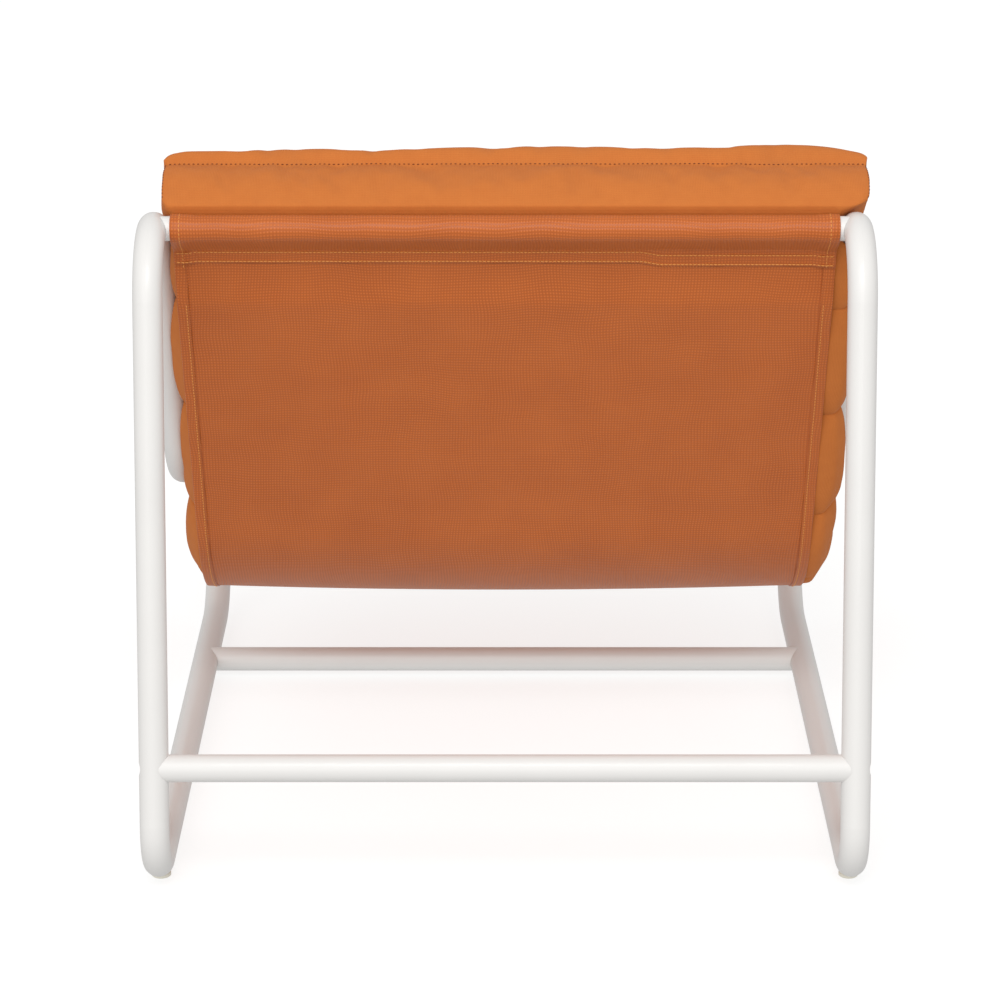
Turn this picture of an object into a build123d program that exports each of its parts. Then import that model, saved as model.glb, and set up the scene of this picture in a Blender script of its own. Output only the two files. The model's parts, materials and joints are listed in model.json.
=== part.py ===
from build123d import *

import math
import os

# Low garden armchair: two bent-tube side frames, four crossbars bolted between them, a mesh
# sling hung from the top crossbar to the front one, and a loose channelled cushion on the sling.
# Millimetres. +Z is up, the sitter faces -Y and +X is on the sitter's left. The origin is on the
# floor, under the middle of the frame.

# Frame
frame_width = 740.0
frame_depth = 880.0
frame_top = 674.0
tube_d = 30.0
tube_wall = 1.5
rear_leg_lean = 10.1
back_tube_recline = 28.5
arm_height = 320.0
foot_bend_r = 48.0
top_bend_r = 70.0
arm_bend_r = 105.0
front_bend_r = 80.0

# Crossbars
sling_bar_d = 25.0
stretcher_d = 28.0
bar_wall = 1.5
cope_gap = 0.15
rear_stretcher_z = 136.0
front_stretcher_from_front = 234.0

# Bolts through the side tubes into the crossbars' threaded plugs
bolt_d = 8.0
bolt_head_d = 13.0
bolt_head_h = 4.5
bolt_head_depth = 2.0
bolt_socket_d = 6.0
bolt_socket_depth = 2.6
bolt_reach = 43.0
bolt_clearance = 0.25
thread_clearance = 0.05
access_clearance = 0.4
sleeve_d = 13.0
plug_length = 14.0
plug_inset = 4.0
seat_gap = 0.1

# Levelling feet
foot_d = 20.0
foot_base_h = 4.5
foot_chamfer = 1.0
foot_stem_d = 8.0
foot_stem_length = 14.0
foot_gap = 1.5
foot_nut_d = 11.0
foot_nut_h = 7.0
foot_hole_clearance = 0.5
rear_foot_from_bend = 4.0
front_foot_from_bend = 45.0

# Mesh sling
sling_side_gap = 4.0
sling_t = 1.2
sling_sleeve_gap = 0.2
sling_recline = 27.0
seat_slope = 17.0
sling_bend_r = 210.0

# Cushion
cushion_side_gap = 1.2
channel_count = 7
end_channel = 130.0
end_seam = 115.0
cushion_t = 92.0
cushion_crown = 10.0
cushion_side_bulge = 9.0
cushion_gap = 0.8
cushion_roll_gap = 0.9
seam_t = 60.0
seam_crown = 5.0
seam_lift = 11.0
seam_draw_in = 6.0
end_t = 100.0
end_lift = 4.0
end_draw_in = 3.0
swell_power = 2.6
swell_root = 0.6
swell_shares = (0.0, 0.15, 0.5, 0.85, 1.0)

# Places that follow from these sizes, as (y, z) in the plane of a side frame
tube_r = tube_d / 2
tube_bore_r = tube_r - tube_wall
frame_x = frame_width / 2 - tube_r
runner_z = foot_base_h + foot_gap + tube_r
lean = math.radians(rear_leg_lean)
recline = math.radians(back_tube_recline)


def toward(start, direction, length):
    """Point at a length along a direction from a start point."""
    return (start[0] + length * direction[0], start[1] + length * direction[1])


def crossing(a, a_direction, b, b_direction):
    """Point where two lines, each given by a point and a direction, cross."""
    cross = a_direction[0] * b_direction[1] - a_direction[1] * b_direction[0]
    along = ((b[0] - a[0]) * b_direction[1] - (b[1] - a[1]) * b_direction[0]) / cross
    return toward(a, a_direction, along)


# Side frame: corners of the tube's centre line, from the rear foot round by the top to the front
leg_up = (-math.sin(lean), math.cos(lean))
leg_front = (-math.cos(lean), -math.sin(lean))
back_down = (-math.sin(recline), -math.cos(recline))
rear_bend_y = frame_depth / 2 - tube_r - foot_bend_r
front_y = tube_r - frame_depth / 2
rear_corner = (rear_bend_y + foot_bend_r * math.tan((math.pi / 2 + lean) / 2), runner_z)
top_bend_z = frame_top - tube_r - top_bend_r
leg_length = (top_bend_z - runner_z + top_bend_r * math.sin(lean)) / math.cos(lean)
leg_end = toward(rear_corner, leg_up, leg_length)
top_bend_centre = toward(leg_end, leg_front, top_bend_r)
top_corner = toward(leg_end, leg_up, top_bend_r / math.tan((lean + recline) / 2))
arm_corner = crossing(top_corner, back_down, (front_y, arm_height), (1.0, 0.0))
front_top_corner = (front_y, arm_height)
front_corner = (front_y, runner_z)
loop_radii = [foot_bend_r, top_bend_r, arm_bend_r, front_bend_r, front_bend_r]

# Crossbar centres
top_bar_at = toward(top_bend_centre, (0.0, 1.0), top_bend_r)
front_bar_at = (front_y, arm_height - front_bend_r)
rear_stretcher_at = toward(rear_corner, leg_up, (rear_stretcher_z - runner_z) / math.cos(lean))
front_stretcher_at = (front_y - tube_r + front_stretcher_from_front, runner_z)
bars = {
    "top_crossbar": (top_bar_at, sling_bar_d),
    "front_crossbar": (front_bar_at, sling_bar_d),
    "rear_stretcher": (rear_stretcher_at, stretcher_d),
    "front_stretcher": (front_stretcher_at, stretcher_d),
}

# Bolt stations along X, on the left side
head_top_x = frame_width / 2 - bolt_head_depth
head_under_x = head_top_x - bolt_head_h
sleeve_r = sleeve_d / 2
sleeve_seat_x = frame_x - math.sqrt(tube_bore_r**2 - sleeve_r**2) + seat_gap
plug_end_x = frame_x - tube_r - plug_inset

# Foot centres along Y
foot_rows = {
    "rear": rear_bend_y - rear_foot_from_bend,
    "front": front_y + front_bend_r + front_foot_from_bend,
}
foot_nut_r = foot_nut_d / 2
foot_nut_z = runner_z - math.sqrt(tube_bore_r**2 - foot_nut_r**2) + seat_gap
sides = {"left": 1, "right": -1}

os.makedirs("parts", exist_ok=True)


def keep(part, label):
    """Label a finished piece and write it to its own file."""
    part.label = label
    export_step(part, f"parts/{label}.step")


def loop_tube(outer_r, bore_r):
    """Left side frame's closed tube, swept as two halves that meet at mid leg and mid runner."""
    leg_mid = toward(rear_corner, leg_up, leg_length / 2)
    runner_mid = ((rear_bend_y + front_y + front_bend_r) / 2, runner_z)
    upper = [leg_mid, top_corner, arm_corner, front_top_corner, front_corner, runner_mid]
    lower = [runner_mid, rear_corner, leg_mid]
    with BuildPart() as tube:
        for points, radii in ((upper, loop_radii[1:]), (lower, loop_radii[:1])):
            with BuildLine(Plane.YZ.offset(frame_x)) as path:
                FilletPolyline(*points, radius=radii)
            with BuildSketch(Plane(path.line @ 0, z_dir=path.line % 0)) as section:
                Circle(outer_r)
                if bore_r:
                    Circle(bore_r, mode=Mode.SUBTRACT)
            sweep(section.sketch, path=path.wires()[0])
    return tube.part


# Side frames, with a bolt hole at each crossbar and a threaded foot's hole under each runner
left_tube = loop_tube(tube_r, tube_bore_r)
with BuildPart() as side_frame_left:
    add(left_tube)
    for centre, _ in bars.values():
        with Locations((frame_x, *centre)):
            Cylinder(
                bolt_head_d / 2 + access_clearance,
                tube_d,
                rotation=(0, 90, 0),
                align=(Align.CENTER, Align.CENTER, Align.MIN),
                mode=Mode.SUBTRACT,
            )
            Cylinder(
                bolt_d / 2 + bolt_clearance,
                tube_d,
                rotation=(0, -90, 0),
                align=(Align.CENTER, Align.CENTER, Align.MIN),
                mode=Mode.SUBTRACT,
            )
    for foot_y in foot_rows.values():
        with Locations((frame_x, foot_y, 0)):
            Cylinder(
                foot_stem_d / 2 + foot_hole_clearance,
                runner_z,
                align=(Align.CENTER, Align.CENTER, Align.MIN),
                mode=Mode.SUBTRACT,
            )
keep(side_frame_left.part, "side_frame_left")

with BuildPart() as side_frame_right:
    add(mirror(side_frame_left.part, about=Plane.YZ))
keep(side_frame_right.part, "side_frame_right")

# Crossbars, their ends coped to sit round the side tubes
cope_left = loop_tube(tube_r + cope_gap, 0)
cope_right = mirror(cope_left, about=Plane.YZ)
for name, (centre, bar_d) in bars.items():
    with BuildPart() as bar:
        with BuildSketch(Plane.YZ):
            with Locations(centre):
                Circle(bar_d / 2)
                Circle(bar_d / 2 - bar_wall, mode=Mode.SUBTRACT)
        extrude(amount=frame_x, both=True)
        add(cope_left, mode=Mode.SUBTRACT)
        add(cope_right, mode=Mode.SUBTRACT)
    keep(bar.part, name)

# Socket-head bolts, spacer sleeves inside the side tubes, and threaded plugs in the crossbars
with BuildPart() as frame_bolts:
    for side in sides.values():
        for centre, _ in bars.values():
            with Locations(Location((0, *centre), (0, 90 * side, 0))):
                with Locations((0, 0, head_under_x)):
                    Cylinder(
                        bolt_head_d / 2,
                        bolt_head_h,
                        align=(Align.CENTER, Align.CENTER, Align.MIN),
                    )
                    Cylinder(
                        bolt_d / 2,
                        bolt_reach,
                        align=(Align.CENTER, Align.CENTER, Align.MAX),
                    )
                with Locations((0, 0, head_top_x)):
                    with BuildSketch(Plane((0, 0, 0))) as socket:
                        RegularPolygon(bolt_socket_d / 2, 6)
                    extrude(socket.sketch, amount=-bolt_socket_depth, mode=Mode.SUBTRACT)
keep(frame_bolts.part, "frame_bolts")

with BuildPart() as bolt_sleeves:
    for side in sides.values():
        for centre, _ in bars.values():
            with Locations(Location((0, *centre), (0, 90 * side, 0))):
                with Locations((0, 0, sleeve_seat_x)):
                    Cylinder(
                        sleeve_r,
                        head_under_x - seat_gap - sleeve_seat_x,
                        align=(Align.CENTER, Align.CENTER, Align.MIN),
                    )
                    Cylinder(bolt_d / 2 + bolt_clearance, 2 * tube_d, mode=Mode.SUBTRACT)
keep(bolt_sleeves.part, "bolt_sleeves")

with BuildPart() as crossbar_plugs:
    for side in sides.values():
        for centre, bar_d in bars.values():
            with Locations(Location((0, *centre), (0, 90 * side, 0))):
                with Locations((0, 0, plug_end_x)):
                    Cylinder(
                        bar_d / 2 - bar_wall - thread_clearance,
                        plug_length,
                        align=(Align.CENTER, Align.CENTER, Align.MAX),
                    )
                    Cylinder(
                        bolt_d / 2 + thread_clearance,
                        plug_length,
                        align=(Align.CENTER, Align.CENTER, Align.MAX),
                        mode=Mode.SUBTRACT,
                    )
keep(crossbar_plugs.part, "crossbar_plugs")

# Levelling feet: nuts welded inside the runners, threaded stems and plastic bases
with BuildPart() as foot_nuts:
    for side in sides.values():
        for foot_y in foot_rows.values():
            with Locations((side * frame_x, foot_y, foot_nut_z)):
                Cylinder(
                    foot_nut_r,
                    foot_nut_h,
                    align=(Align.CENTER, Align.CENTER, Align.MIN),
                )
                Cylinder(foot_stem_d / 2 + thread_clearance, tube_d, mode=Mode.SUBTRACT)
keep(foot_nuts.part, "foot_nuts")

for row, foot_y in foot_rows.items():
    for side_name, side in sides.items():
        with BuildPart() as base:
            with Locations((side * frame_x, foot_y, 0)):
                Cylinder(foot_d / 2, foot_base_h, align=(Align.CENTER, Align.CENTER, Align.MIN))
            chamfer(base.edges().filter_by(GeomType.CIRCLE), foot_chamfer)
        keep(base.part, f"foot_base_{row}_{side_name}")
        with BuildPart() as stem:
            with Locations((side * frame_x, foot_y, foot_base_h)):
                Cylinder(
                    foot_stem_d / 2,
                    foot_stem_length,
                    align=(Align.CENTER, Align.CENTER, Align.MIN),
                )
            chamfer(stem.edges().sort_by(Axis.Z)[-1], foot_chamfer)
        keep(stem.part, f"foot_stem_{row}_{side_name}")

# Sling: one strip from the top crossbar's sleeve, down the back, round and up to the front sleeve
sling_width = frame_width - 2 * tube_d - 2 * sling_side_gap
sling_angle = math.radians(sling_recline)
slope = math.radians(seat_slope)
sling_down = (-math.sin(sling_angle), -math.cos(sling_angle))
seat_back = (math.cos(slope), -math.sin(slope))
sling_corner = crossing(top_bar_at, sling_down, front_bar_at, seat_back)
sleeve_bore_r = sling_bar_d / 2 + sling_sleeve_gap
roll_r = sleeve_bore_r + sling_t
with BuildPart() as sling:
    with BuildSketch(Plane.YZ):
        with BuildLine() as strip:
            FilletPolyline(top_bar_at, sling_corner, front_bar_at, radius=sling_bend_r)
        trace(strip.line, line_width=sling_t)
        with Locations(top_bar_at, front_bar_at):
            Circle(roll_r)
            Circle(sleeve_bore_r, mode=Mode.SUBTRACT)
    extrude(amount=sling_width / 2, both=True)
keep(sling.part, "sling")

# Cushion: channels sewn across, each swelling between two seams, lying on the sling. Its end
# channels tilt to pass over the rolls of mesh on the top and front crossbars.
cushion_w = frame_width - 2 * tube_d - 2 * cushion_side_gap
rest = sling_t / 2 + cushion_gap
up_from_back = (-math.cos(sling_angle), math.sin(sling_angle))
up_from_seat = (math.sin(slope), math.cos(slope))
with BuildLine() as underside:
    FilletPolyline(
        toward(top_bar_at, up_from_back, rest),
        crossing(
            toward(top_bar_at, up_from_back, rest),
            sling_down,
            toward(front_bar_at, up_from_seat, rest),
            seat_back,
        ),
        toward(front_bar_at, up_from_seat, rest),
        radius=sling_bend_r - rest,
    )
under = underside.wires()[0]
channel_pitch = (under.length - 2 * end_seam) / (channel_count - 2)


def station(length):
    """Point and direction of the cushion's underside at a length from the top crossbar."""
    point = under.position_at(length, position_mode=PositionMode.LENGTH)
    way = under.tangent_at(length, position_mode=PositionMode.LENGTH)
    return (point.X, point.Y), (way.X, way.Y)


def tilted(way, angle):
    """A direction turned by an angle, positive from +Y towards +Z."""
    return (
        way[0] * math.cos(angle) - way[1] * math.sin(angle),
        way[0] * math.sin(angle) + way[1] * math.cos(angle),
    )


def end_place(seam, roll_at, turn, share):
    """Place along an end channel, which leaves its seam straight to pass just clear of a roll."""
    point, _ = station(seam)
    gap = math.hypot(roll_at[0] - point[0], roll_at[1] - point[1])
    out = ((roll_at[0] - point[0]) / gap, (roll_at[1] - point[1]) / gap)
    rise = math.asin((roll_r + cushion_roll_gap) / gap)
    out = tilted(out, turn * rise)
    along = (-out[0], -out[1]) if turn > 0 else out
    return toward(point, out, end_channel * share), along


def channel_place(i, share):
    """Place on the underside of a channel, at a share of its length from its upper edge."""
    seam = end_seam + (i - 1) * channel_pitch
    if i == 0 and share < 1:
        return end_place(end_seam, top_bar_at, 1, 1 - share)
    if i == channel_count - 1 and share > 0:
        return end_place(seam, front_bar_at, -1, share)
    return station(seam + share * channel_pitch)


def cushion_section(place, thickness, crown, lift, draw_in):
    """Cross-section of the cushion, square to its length: flat below, with bowed sides and top."""
    (y, z), (way_y, way_z) = place
    half = cushion_w / 2 - draw_in
    edge = half - cushion_side_bulge
    plane = Plane((0, y, z), x_dir=(1, 0, 0), z_dir=(0, way_y, way_z))
    with BuildSketch(plane) as section:
        with BuildLine():
            Line((-edge, lift), (edge, lift))
            ThreePointArc((edge, lift), (half, lift + thickness / 2), (edge, lift + thickness))
            ThreePointArc(
                (edge, lift + thickness), (0, lift + thickness + crown), (-edge, lift + thickness)
            )
            ThreePointArc((-edge, lift + thickness), (-half, lift + thickness / 2), (-edge, lift))
        make_face()
    return section.sketch


middle_sizes = (cushion_t, cushion_crown, 0.0, 0.0)
seam_sizes = (seam_t, seam_crown, seam_lift, seam_draw_in)
end_sizes = (end_t, seam_crown, end_lift, end_draw_in)
with BuildPart() as cushion:
    for i in range(channel_count):
        upper = end_sizes if i == 0 else seam_sizes
        lower = end_sizes if i == channel_count - 1 else seam_sizes
        sections = []
        for share in swell_shares:
            edge = upper if share < 0.5 else lower
            swell = (1 - abs(2 * share - 1) ** swell_power) ** swell_root
            sizes = [low + (high - low) * swell for low, high in zip(edge, middle_sizes)]
            sections.append(cushion_section(channel_place(i, share), *sizes))
        loft(sections)
keep(cushion.part, "seat_cushion")
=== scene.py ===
import json
import logging
import math
from dataclasses import dataclass, field
from enum import Enum

import bpy
import numpy as np
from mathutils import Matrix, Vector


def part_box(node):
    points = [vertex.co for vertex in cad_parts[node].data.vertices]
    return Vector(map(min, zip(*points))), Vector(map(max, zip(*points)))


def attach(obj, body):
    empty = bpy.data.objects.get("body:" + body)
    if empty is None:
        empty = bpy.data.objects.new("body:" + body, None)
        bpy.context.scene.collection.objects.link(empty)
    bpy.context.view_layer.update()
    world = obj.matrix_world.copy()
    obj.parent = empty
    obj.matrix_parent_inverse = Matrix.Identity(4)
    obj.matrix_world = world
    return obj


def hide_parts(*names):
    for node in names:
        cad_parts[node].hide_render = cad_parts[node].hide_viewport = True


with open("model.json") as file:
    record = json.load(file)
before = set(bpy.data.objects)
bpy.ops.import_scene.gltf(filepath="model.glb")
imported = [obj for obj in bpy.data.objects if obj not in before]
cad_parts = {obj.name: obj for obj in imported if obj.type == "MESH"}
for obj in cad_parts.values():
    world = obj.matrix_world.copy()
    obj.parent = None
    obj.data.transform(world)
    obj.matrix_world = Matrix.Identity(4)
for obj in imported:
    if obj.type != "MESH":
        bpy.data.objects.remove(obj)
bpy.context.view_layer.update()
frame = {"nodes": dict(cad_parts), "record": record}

log = logging.getLogger("garden_armchair")
MM = 0.001
# How far the roll of mesh stands over its bar, with a little to spare for the cushion
ROLL_OVER_BAR = 1.4 * MM


class Body(Enum):
    """The bodies that pieces ride on."""

    FRAME = "frame"
    CUSHION = "cushion"


class Slot(Enum):
    """The record's material slots."""

    FRAME_COAT = "frame_coat"
    BLACK_BOLT_STEEL = "black_bolt_steel"
    ZINC_STEEL = "zinc_steel"
    FOOT_PLASTIC = "foot_plastic"
    SLING_MESH = "sling_mesh"
    CUSHION_COVER = "cushion_cover"


def linear(code: str) -> tuple[float, float, float, float]:
    """Turn an sRGB hex colour into linear light.

    Args:
        code: Six hex digits, with no leading mark.

    Returns:
        Red, green, blue and an opaque alpha.
    """
    srgb = [int(code[i : i + 2], 16) / 255 for i in (0, 2, 4)]
    light = [c / 12.92 if c <= 0.04045 else ((c + 0.055) / 1.055) ** 2.4 for c in srgb]
    return (*light, 1.0)


def add_node(tree: bpy.types.NodeTree, kind: str, inputs: dict | None = None, **settings) -> bpy.types.Node:
    """Add one node with its settings, and fill or link its inputs.

    Args:
        tree: The material's node tree.
        kind: The node's type name.
        inputs: Socket name or number, with a constant or a (node, output) pair to link from.
        **settings: Properties of the node.

    Returns:
        The new node.
    """
    node = tree.nodes.new(kind)
    for name, value in settings.items():
        setattr(node, name, value)
    for socket, value in (inputs or {}).items():
        if isinstance(value, tuple) and isinstance(value[0], bpy.types.Node):
            tree.links.new(value[0].outputs[value[1]], node.inputs[socket])
        else:
            node.inputs[socket].default_value = value
    return node


def band_scale(pitch: float) -> float:
    """Wave texture scale that repeats a band at a pitch in metres: the node turns 20 radians a unit."""
    return 2 * math.pi / (20 * pitch)


def smooth(x: np.ndarray) -> np.ndarray:
    """Smooth step from 0 at x = 0 to 1 at x = 1: three x squared less two x cubed."""
    x = np.clip(x, 0.0, 1.0)
    return x * x * (3 - 2 * x)


def lengths_along(points: np.ndarray) -> np.ndarray:
    """Length along a path from its first point to each of its points."""
    return np.concatenate([[0], np.cumsum(np.linalg.norm(np.diff(points, axis=0), axis=1))])


def sample(at: np.ndarray, run: np.ndarray, points: np.ndarray) -> np.ndarray:
    """Points at lengths along a path, straight from each of its points to the next."""
    return np.stack([np.interp(at, run, column) for column in points.T], axis=-1)


def put(name: str, data: bpy.types.ID) -> bpy.types.Object:
    """Make an object of a mesh, a light or a camera, linked to the scene."""
    piece = bpy.data.objects.new(name, data)
    bpy.context.scene.collection.objects.link(piece)
    return piece


def grown_points(piece: bpy.types.Object) -> tuple[np.ndarray, np.ndarray]:
    """Read a piece's points and their normals with its modifiers at work.

    Args:
        piece: A mesh object.

    Returns:
        Points and unit normals, each n by 3.
    """
    grown = piece.evaluated_get(bpy.context.evaluated_depsgraph_get()).to_mesh()
    points = np.zeros(len(grown.vertices) * 3, np.float32)
    normals = np.zeros(len(grown.vertices) * 3, np.float32)
    grown.vertices.foreach_get("co", points)
    grown.vertex_normals.foreach_get("vector", normals)
    return points.reshape(-1, 3), normals.reshape(-1, 3)


def mesh_piece(
    name: str, points: np.ndarray, faces: np.ndarray, uv: np.ndarray | None = None
) -> bpy.types.Object:
    """Put points and faces into a new mesh object at the origin, shaded smooth.

    Args:
        name: The piece's name.
        points: Vertex places in metres, n by 3.
        faces: Vertex numbers, m by the corners of a face.
        uv: A place in metres for each face corner, m by corners by 2, if a pattern follows the surface.

    Returns:
        The object, linked to the scene.
    """
    mesh = bpy.data.meshes.new(name)
    mesh.from_pydata(points.tolist(), [], faces.tolist())
    mesh.polygons.foreach_set("use_smooth", np.ones(len(faces), bool))
    if uv is not None:
        layer = mesh.uv_layers.new(name="cloth")
        layer.data.foreach_set("uv", uv.astype(np.float32).ravel())
    mesh.update()
    return put(name, mesh)


def grid_faces(rows: int, columns: int) -> np.ndarray:
    """Quads of a grid of points, numbered row by row.

    Args:
        rows: Points along the first parameter.
        columns: Points along the second parameter.

    Returns:
        Vertex numbers of each quad, (rows - 1) * (columns - 1) by 4.
    """
    corner = (np.arange(rows - 1)[:, None] * columns + np.arange(columns - 1)).ravel()
    return np.stack([corner, corner + 1, corner + columns + 1, corner + columns], axis=1)


@dataclass(frozen=True)
class Finish:
    """A surface finish: two colours mixed by a pattern, and a height that bumps it."""

    name: str
    light: str
    shade: str
    roughness: float
    metallic: float = 0.0
    sheen: float = 0.0
    coat: float = 0.0
    specular: float = 0.5
    glow: float = 0.0
    bump: float = 0.1 * MM

    def pattern(self, tree: bpy.types.NodeTree) -> tuple[tuple, tuple]:
        """Add the nodes of the pattern.

        Args:
            tree: The material's node tree.

        Returns:
            The (node, output) of the colour mask and that of the height.
        """
        raise NotImplementedError

    def build(self) -> bpy.types.Material:
        """Make the material: the mask mixes the colours, and the height bumps the surface.

        Returns:
            The material.
        """
        material = bpy.data.materials.new(self.name)
        material.use_nodes = True
        tree = material.node_tree
        tree.nodes.clear()
        mask, height = self.pattern(tree)
        colour = add_node(
            tree,
            "ShaderNodeMix",
            {0: mask, 6: linear(self.shade), 7: linear(self.light)},
            data_type="RGBA",
        )
        bump = add_node(
            tree, "ShaderNodeBump", {"Height": height, "Distance": self.bump, "Strength": 1.0}
        )
        shader = add_node(
            tree,
            "ShaderNodeBsdfPrincipled",
            {
                "Base Color": (colour, 2),
                "Normal": (bump, 0),
                "Metallic": self.metallic,
                "Roughness": self.roughness,
                "Sheen Weight": self.sheen,
                "Coat Weight": self.coat,
                "Specular IOR Level": self.specular,
                "Emission Color": (1.0, 1.0, 1.0, 1.0),
                "Emission Strength": self.glow,
            },
        )
        add_node(tree, "ShaderNodeOutputMaterial", {"Surface": (shader, 0)})
        return material


@dataclass(frozen=True)
class PowderCoat(Finish):
    """Baked polyester powder on steel: satin, with the faint orange peel that the melt leaves."""

    peel: float = 1.6 * MM
    cloud: float = 90 * MM

    def pattern(self, tree: bpy.types.NodeTree) -> tuple[tuple, tuple]:
        """Cloudy tone over tens of millimetres, and a fine peel for the height.

        Args:
            tree: The material's node tree.

        Returns:
            The (node, output) of the colour mask and that of the height.
        """
        place = add_node(tree, "ShaderNodeTexCoord")
        clouds = add_node(
            tree, "ShaderNodeTexNoise", {"Vector": (place, "Object"), "Scale": 1 / self.cloud, "Detail": 2.0}
        )
        peel = add_node(
            tree, "ShaderNodeTexNoise", {"Vector": (place, "Object"), "Scale": 1 / self.peel, "Detail": 1.0}
        )
        return (clouds, 0), (peel, 0)


@dataclass(frozen=True)
class CoatedMesh(Finish):
    """Mesh woven from vinyl-coated polyester yarn: a grid of rounded crossings with dark pits between.

    The real yarns lie about half as far apart. They are drawn this coarse so that they show.
    """

    across: float = 3.0 * MM
    along: float = 3.4 * MM
    cloud: float = 60 * MM
    cloud_share: float = 0.35
    base_share: float = 0.15
    crossing_share: float = 0.75
    sway: float = 14 * MM
    sway_length: float = 90 * MM

    def pattern(self, tree: bpy.types.NodeTree) -> tuple[tuple, tuple]:
        """The product of a band across and a band along: high at each crossing, low in each pit.

        A slow noise moves the bands a little, as yarns do in a stretched cloth.

        Args:
            tree: The material's node tree.

        Returns:
            The (node, output) of the colour mask and that of the height.
        """
        cloth = add_node(tree, "ShaderNodeUVMap", uv_map="cloth")
        drift = add_node(
            tree, "ShaderNodeTexNoise", {"Vector": (cloth, 0), "Scale": 1 / self.sway_length, "Detail": 1.0}
        )
        place = add_node(
            tree,
            "ShaderNodeVectorMath",
            {0: (drift, "Color"), 1: (self.sway, self.sway, 0.0), 2: (cloth, 0)},
            operation="MULTIPLY_ADD",
        )
        object_place = add_node(tree, "ShaderNodeTexCoord")
        bands = [
            add_node(
                tree,
                "ShaderNodeTexWave",
                {"Vector": (place, 0), "Scale": band_scale(pitch), "Distortion": 0.0},
                bands_direction=way,
            )
            for way, pitch in (("X", self.across), ("Y", self.along))
        ]
        crossing = add_node(
            tree, "ShaderNodeMath", {0: (bands[0], "Fac"), 1: (bands[1], "Fac")}, operation="MULTIPLY"
        )
        clouds = add_node(
            tree,
            "ShaderNodeTexNoise",
            {"Vector": (object_place, "Object"), "Scale": 1 / self.cloud, "Detail": 3.0},
        )
        mask = self.base_share
        for source, share in ((clouds, self.cloud_share), (crossing, self.crossing_share)):
            inputs = {0: (source, 0), 1: share, 2: mask}
            mask = (add_node(tree, "ShaderNodeMath", inputs, operation="MULTIPLY_ADD"), 0)
        return mask, (crossing, 0)


@dataclass(frozen=True)
class CoverCloth(Finish):
    """Plain-woven outdoor polyester: a matt, even cloth with slightly uneven yarns.

    The real yarns lie about 0.5 mm apart. They are drawn at three times that so that they show.
    """

    yarn: float = 1.6 * MM
    slub: float = 14 * MM
    slub_share: float = 0.5
    base_share: float = 0.25
    weave_share: float = 0.18

    def pattern(self, tree: bpy.types.NodeTree) -> tuple[tuple, tuple]:
        """The sum of a band each way, softened, over the uneven tone of the yarns.

        Args:
            tree: The material's node tree.

        Returns:
            The (node, output) of the colour mask and that of the height.
        """
        place = add_node(tree, "ShaderNodeUVMap", uv_map="cloth")
        object_place = add_node(tree, "ShaderNodeTexCoord")
        bands = [
            add_node(
                tree,
                "ShaderNodeTexWave",
                {"Vector": (place, 0), "Scale": band_scale(self.yarn), "Distortion": 0.4, "Detail": 1.0},
                bands_direction=way,
            )
            for way in "XY"
        ]
        weave = add_node(
            tree, "ShaderNodeMath", {0: (bands[0], "Fac"), 1: (bands[1], "Fac")}, operation="ADD"
        )
        slubs = add_node(
            tree,
            "ShaderNodeTexNoise",
            {"Vector": (object_place, "Object"), "Scale": 1 / self.slub, "Detail": 4.0, "Roughness": 0.6},
        )
        mask = self.base_share
        for source, share in ((slubs, self.slub_share), (weave, self.weave_share)):
            inputs = {0: (source, 0), 1: share, 2: mask}
            mask = (add_node(tree, "ShaderNodeMath", inputs, operation="MULTIPLY_ADD"), 0)
        return mask, (weave, 0)


@dataclass(frozen=True)
class SolidGrain(Finish):
    """A plain solid with a fine grain, as moulded plastic, plated steel or twisted thread has."""

    grain: float = 0.8 * MM

    def pattern(self, tree: bpy.types.NodeTree) -> tuple[tuple, tuple]:
        """One noise for both tone and height.

        Args:
            tree: The material's node tree.

        Returns:
            The (node, output) of the colour mask and that of the height.
        """
        place = add_node(tree, "ShaderNodeTexCoord")
        grain = add_node(
            tree, "ShaderNodeTexNoise", {"Vector": (place, "Object"), "Scale": 1 / self.grain, "Detail": 2.0}
        )
        return (grain, 0), (grain, 0)


FINISHES: dict[str, Finish] = {
    Slot.FRAME_COAT.value: PowderCoat(
        "white_powder_coat", "E9E7E4", "E4E2DF", 0.42, coat=0.15, bump=0.02 * MM
    ),
    Slot.BLACK_BOLT_STEEL.value: SolidGrain("black_oxide_steel", "2A2928", "171615", 0.42, metallic=0.9),
    Slot.ZINC_STEEL.value: SolidGrain("zinc_plated_steel", "C4C5C3", "A9AAA8", 0.36, metallic=1.0),
    Slot.FOOT_PLASTIC.value: SolidGrain("moulded_polyethylene", "EFEBDD", "E4DFCF", 0.5, bump=0.03 * MM),
    Slot.SLING_MESH.value: CoatedMesh(
        "vinyl_coated_mesh", "D17130", "A54E19", 0.4, specular=0.35, bump=0.35 * MM
    ),
    Slot.CUSHION_COVER.value: CoverCloth(
        "woven_polyester_cover", "D07A39", "BC662E", 0.82, sheen=0.02, specular=0.2, bump=0.12 * MM
    ),
}
# Twisted polyester: golden and a little glossy on the sling
SEWING_THREAD = SolidGrain(
    "polyester_sewing_thread", "F4AE5C", "DF8E3C", 0.5, bump=0.05 * MM, grain=0.5 * MM
)
# The cover's stitches are real, but their dark, matt colour is painted shade: it stands for the shadow in
# the seam lines, needle holes and corner seams
SEAM_SHADE_THREAD = SolidGrain("thread_painted_seam_shade", "7E3A10", "63290A", 0.6, bump=0.05 * MM, grain=0.5 * MM)
# A matt floor with a glow of its own, so that it is near white and keeps only a faint shadow
STUDIO_FLOOR = SolidGrain(
    "backlit_white_floor", "A8A8A7", "A6A6A5", 0.9, specular=0.1, glow=0.72, bump=0.01 * MM, grain=40 * MM
)


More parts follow.
